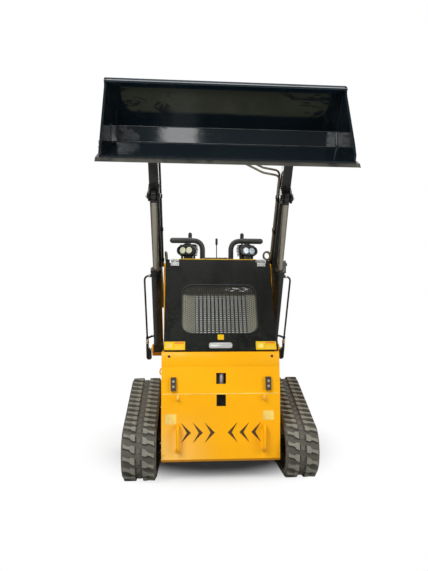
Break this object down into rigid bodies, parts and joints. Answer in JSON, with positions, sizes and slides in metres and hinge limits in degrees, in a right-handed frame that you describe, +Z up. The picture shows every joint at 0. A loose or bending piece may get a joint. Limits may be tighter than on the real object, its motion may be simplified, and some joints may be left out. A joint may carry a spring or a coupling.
{
  "type": "mini track loader",
  "caption": "Stand-on mini loader on rubber tracks with a raised twin-arm boom, tilting bucket, hinged hood and fold-up platform.",
  "frame": {"origin": "on the ground under the middle of the machine's box, at rest", "axes": "+Z up, -Y towards the bucket (front), +Y towards the operator (rear), +X towards the side on the viewer's right when the machine is seen from its front"},
  "size_m": [1.108, 2.1704, 1.9235],
  "materials": {
    "yellow_paint": "semi-gloss",
    "black_paint": "satin",
    "dark_paint": "matte",
    "engine_metal": "matte",
    "dark_rubber": "matte",
    "zinc_steel": "satin",
    "mesh_steel": "satin",
    "grip_plastic": "matte",
    "lamp_housing": "satin",
    "track_rubber": "matte",
    "wheel_iron": "matte",
    "rod_chrome": "polished",
    "bucket_paint": "gloss",
    "hose_rubber": "matte",
    "hose_tan": "matte"
  },
  "bodies": {
    "chassis": {"right_side_plate": "yellow_paint", "left_side_plate": "yellow_paint", "front_panel": "yellow_paint", "main_frame": "dark_paint", "rear_cover": "yellow_paint", "engine_block": "engine_metal", "top_deck": "black_paint", "front_bumper_pads": "dark_rubber", "front_handles": "yellow_paint", "hood_hinges": "zinc_steel", "handlebars": "grip_plastic", "control_levers": "grip_plastic", "work_lamps": "lamp_housing", "right_track": "track_rubber", "left_track": "track_rubber", "front_idlers": "wheel_iron", "rear_idlers": "wheel_iron", "track_rollers": "wheel_iron", "track_frames": "dark_paint", "sprockets": "wheel_iron", "drive_motors": "dark_paint", "boom_pivot_pins": "zinc_steel", "lift_cylinder_brackets": "yellow_paint"},
    "hood": {"hood": "black_paint", "hood_grille": "mesh_steel", "hood_latch": "zinc_steel", "hood_hinge_leaves": "zinc_steel"},
    "boom": {"right_boom_arm": "black_paint", "left_boom_arm": "black_paint", "boom_cross_tube": "black_paint", "boom_hoses": "hose_tan", "boom_hose_clamps": "dark_rubber", "boom_lock": "zinc_steel"},
    "lift_barrels": {"lift_cylinder_barrels": "black_paint", "lift_cylinder_pipes": "black_paint", "lift_cylinder_hoses": "hose_rubber"},
    "lift_rods": {"lift_cylinder_rods": "rod_chrome"},
    "bucket": {"bucket_shell": "bucket_paint", "bucket_cutting_edge": "bucket_paint", "bucket_mount_frame": "bucket_paint"},
    "tilt_barrel": {"tilt_cylinder_barrel": "black_paint"},
    "tilt_rod": {"tilt_cylinder_rod": "rod_chrome"},
    "platform": {"standing_platform": "dark_paint"}
  },
  "joints": [
    {"name": "boom_lift", "type": "hinge", "parent": "chassis", "child": "boom", "pos_m": [0, 0.47719, 1], "axis": [-1, 0, 0], "range_deg": [-72.6, 3]},
    {"name": "lift_barrel_swing", "type": "hinge", "parent": "chassis", "child": "lift_barrels", "pos_m": [0, 0.28719, 0.685], "axis": [-1, 0, 0], "range_deg": [-82.11, 4.35]},
    {"name": "lift_rod_slide", "type": "slide", "parent": "lift_barrels", "child": "lift_rods", "axis": [0, -0.5659, 0.8245], "range_m": [-0.4216, 0.0193]},
    {"name": "bucket_tilt", "type": "hinge", "parent": "boom", "child": "bucket", "pos_m": [0, -0.6828, 1.79], "axis": [1, 0, 0], "range_deg": [-100, 15]},
    {"name": "tilt_barrel_swing", "type": "hinge", "parent": "boom", "child": "tilt_barrel", "pos_m": [0, -0.2128, 1.88], "axis": [1, 0, 0], "range_deg": [-3.49, 0.95]},
    {"name": "tilt_rod_slide", "type": "slide", "parent": "tilt_barrel", "child": "tilt_rod", "axis": [0, -0.9999, -0.0144], "range_m": [-0.2228, 0.0351]},
    {"name": "hood_open", "type": "hinge", "parent": "chassis", "child": "hood", "pos_m": [0, -0.00007, 1.21303], "axis": [-1, 0, 0], "range_deg": [0, 45]},
    {"name": "platform_fold", "type": "hinge", "parent": "chassis", "child": "platform", "pos_m": [0, 0.75519, 0.25], "axis": [1, 0, 0], "range_deg": [0, 84]}
  ],
  "couplings": [
    {"joint": "lift_barrel_swing", "follows": "boom_lift", "ratio": 1.1172},
    {"joint": "lift_rod_slide", "follows": "boom_lift", "m_per_rad": 0.3311},
    {"joint": "tilt_barrel_swing", "follows": "bucket_tilt", "ratio": 0.0299},
    {"joint": "tilt_rod_slide", "follows": "bucket_tilt", "m_per_rad": 0.1265}
  ]
}
